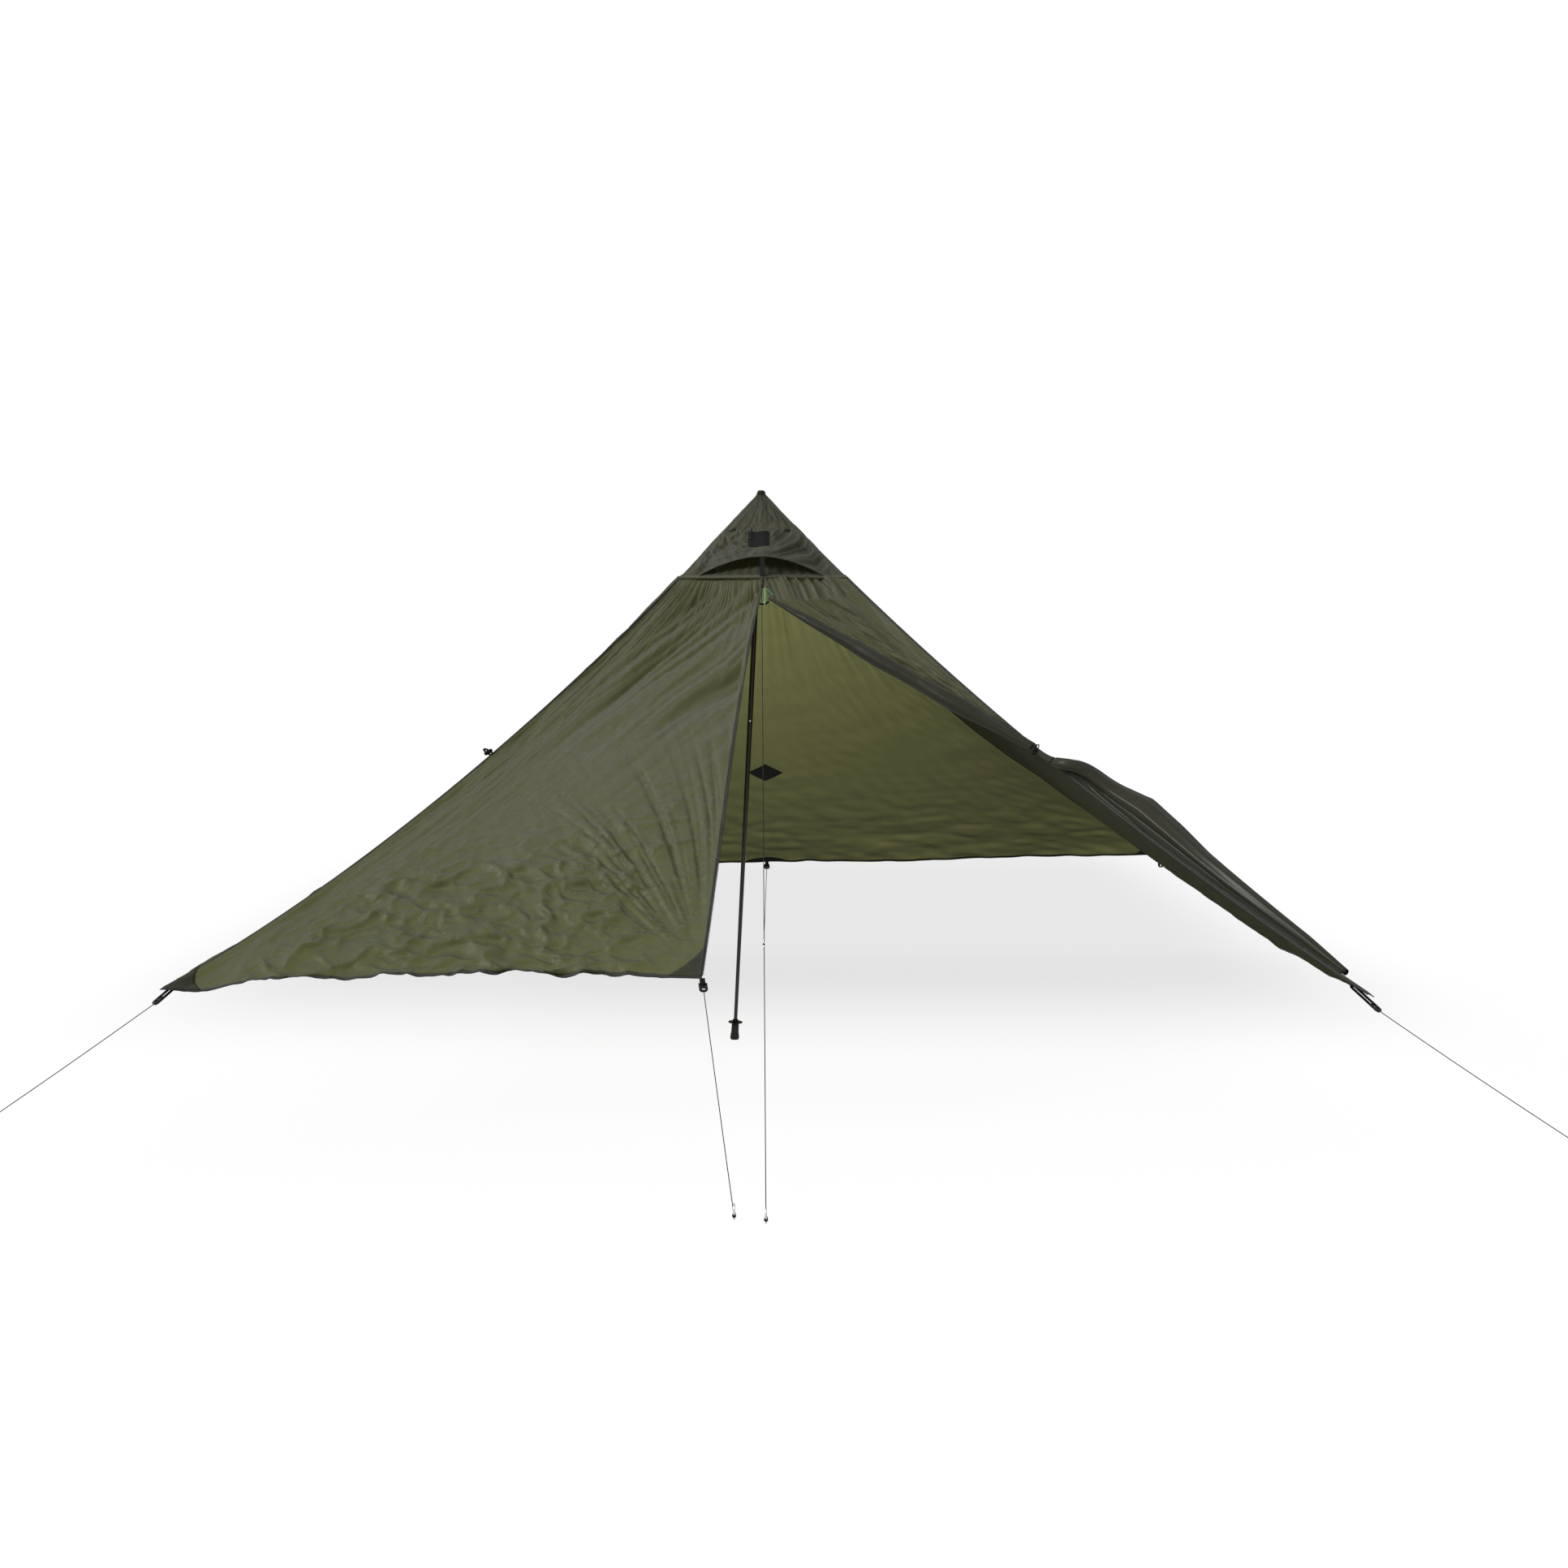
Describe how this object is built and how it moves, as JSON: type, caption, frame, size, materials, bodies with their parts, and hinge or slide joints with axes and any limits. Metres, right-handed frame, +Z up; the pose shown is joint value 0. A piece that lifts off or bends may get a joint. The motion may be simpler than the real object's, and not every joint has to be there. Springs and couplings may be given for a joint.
{
  "type": "camping tarp",
  "caption": "Single-pole pyramid tarp shelter with hooded peak vent, zipped front, one door rolled back on its ridge, trekking-pole support, guy lines, adjusters and pegs.",
  "frame": {"origin": "the ground under the trekking pole's rubber foot, on the sole's flat", "axes": "+Z up, -Y out of the doorway towards the camera, +X to the open door's side"},
  "size_m": [3.778, 3.9536, 1.7279],
  "materials": {
    "olive_ripstop": "coated woven ripstop, soft sheen",
    "olive_ripstop_rolled": "coated woven ripstop in several layers, silky sheen",
    "dark_grey_trim": "doubled woven trim and binding tape",
    "black_webbing": "woven webbing",
    "black_plastic": "moulded nylon",
    "vent_lining": "thin pleated lining",
    "green_pull_cord": "woven pull cord with light flecks",
    "dark_guy_cord": "braided cord",
    "anodised_tube": "dark anodised",
    "button_steel": "plain",
    "black_rubber": "matte",
    "grip_foam": "foam",
    "peg_aluminium": "plain"
  },
  "bodies": {
    "tarp": {"wall_left": "olive_ripstop", "wall_back": "olive_ripstop", "wall_right": "olive_ripstop", "door_left": "olive_ripstop", "ridge_tape_front_left": "dark_grey_trim", "ridge_tape_front_right": "dark_grey_trim", "ridge_tape_back_left": "dark_grey_trim", "ridge_tape_back_right": "dark_grey_trim", "hem_binding": "dark_grey_trim", "zip_tape": "dark_grey_trim", "corner_patch_front_left": "dark_grey_trim", "corner_patch_back_left": "dark_grey_trim", "corner_patch_back_right": "dark_grey_trim", "corner_patch_front_right": "dark_grey_trim", "door_patch": "dark_grey_trim", "back_mid_patch": "dark_grey_trim", "diamond_patch": "black_webbing", "peak_cap": "olive_ripstop", "vent_hood": "olive_ripstop", "vent_lining": "vent_lining", "peak_strap": "black_webbing", "door_right_roll": "olive_ripstop_rolled", "door_right_panel": "olive_ripstop", "door_right_flap": "olive_ripstop_rolled", "tieback_loop": "black_webbing", "pullout_tab_left": "black_webbing", "pullout_tab_right": "black_webbing", "pullout_tab_back": "black_webbing", "webbing_loop_front_left": "black_webbing", "adjuster_front_left": "black_plastic", "guy_front_left": "dark_guy_cord", "webbing_loop_front_right": "black_webbing", "adjuster_front_right": "black_plastic", "guy_front_right": "dark_guy_cord", "webbing_loop_back_left": "black_webbing", "webbing_loop_back_right": "black_webbing", "webbing_loop_door": "black_webbing", "adjuster_door": "black_plastic", "guy_door": "dark_guy_cord", "webbing_loop_back": "black_webbing", "adjuster_back": "black_plastic", "guy_back": "dark_guy_cord", "guy_peak": "dark_guy_cord", "pole_grip": "grip_foam", "pole_upper_tube": "anodised_tube", "pole_lower_tube": "anodised_tube", "pole_basket": "black_plastic"},
    "button": {"pole_button": "button_steel"},
    "rubber_foot": {"pole_foot": "black_rubber"},
    "slider": {"zip_slider": "dark_grey_trim"},
    "pull": {"zip_pull": "green_pull_cord"},
    "strut": {"vent_strut": "dark_grey_trim"},
    "adjuster_bl": {"adjuster_back_left": "black_plastic"},
    "adjuster_br": {"adjuster_back_right": "black_plastic"},
    "toggle": {"tieback_toggle": "black_plastic"},
    "front_left_peg": {"peg_front_left": "peg_aluminium"},
    "front_right_peg": {"peg_front_right": "peg_aluminium"},
    "door_peg": {"peg_door": "peg_aluminium"},
    "back_peg": {"peg_back": "peg_aluminium"},
    "peak_peg": {"peg_peak": "peg_aluminium"}
  },
  "joints": [
    {"name": "button_press", "type": "slide", "parent": "tarp", "child": "button", "axis": [0, 1, 0], "range_m": [0, 0.0022], "stiffness_N_per_m": 800, "springref_m": -0.002},
    {"name": "rubber_foot_pull_off", "type": "slide", "parent": "tarp", "child": "rubber_foot", "axis": [-0.0485, 0, -0.9988], "range_m": [0, 0.022]},
    {"name": "zip_run", "type": "slide", "parent": "tarp", "child": "slider", "axis": [0.0021, 0.7563, 0.6542], "range_m": [0, 0.03]},
    {"name": "pull_swing", "type": "hinge", "parent": "slider", "child": "pull", "pos_m": [0.08643, -0.34594, 1.3177], "axis": [1, 0, 0], "range_deg": [-20, 60]},
    {"name": "strut_fold", "type": "hinge", "parent": "tarp", "child": "strut", "pos_m": [0.08247, -0.30358, 1.351], "axis": [1, 0, 0], "range_deg": [0, 100]},
    {"name": "back_left_adjuster_swing", "type": "hinge", "parent": "tarp", "child": "adjuster_bl", "pos_m": [-1.305, 1.4, 0.378], "axis": [-0.7071, -0.7071, 0], "range_deg": [-60, 60]},
    {"name": "back_right_adjuster_swing", "type": "hinge", "parent": "tarp", "child": "adjuster_br", "pos_m": [1.495, 1.4, 0.378], "axis": [-0.7071, 0.7071, 0], "range_deg": [-60, 60]},
    {"name": "toggle_turn", "type": "hinge", "parent": "tarp", "child": "toggle", "pos_m": [0.78855, -0.75148, 0.89385], "axis": [-0.3535, -0.9132, 0.2026], "range_deg": [0, 90]},
    {"name": "front_left_peg_pull", "type": "slide", "parent": "tarp", "child": "front_left_peg", "axis": [-0.2902, -0.2902, 0.9119], "range_m": [0, 0.14]},
    {"name": "front_right_peg_pull", "type": "slide", "parent": "tarp", "child": "front_right_peg", "axis": [0.2902, -0.2902, 0.9119], "range_m": [0, 0.14]},
    {"name": "door_peg_pull", "type": "slide", "parent": "tarp", "child": "door_peg", "axis": [0, -0.4104, 0.9119], "range_m": [0, 0.14]},
    {"name": "back_peg_pull", "type": "slide", "parent": "tarp", "child": "back_peg", "axis": [0, 0.4104, 0.9119], "range_m": [0, 0.14]},
    {"name": "peak_peg_pull", "type": "slide", "parent": "tarp", "child": "peak_peg", "axis": [0, -0.4104, 0.9119], "range_m": [0, 0.14]}
  ]
}
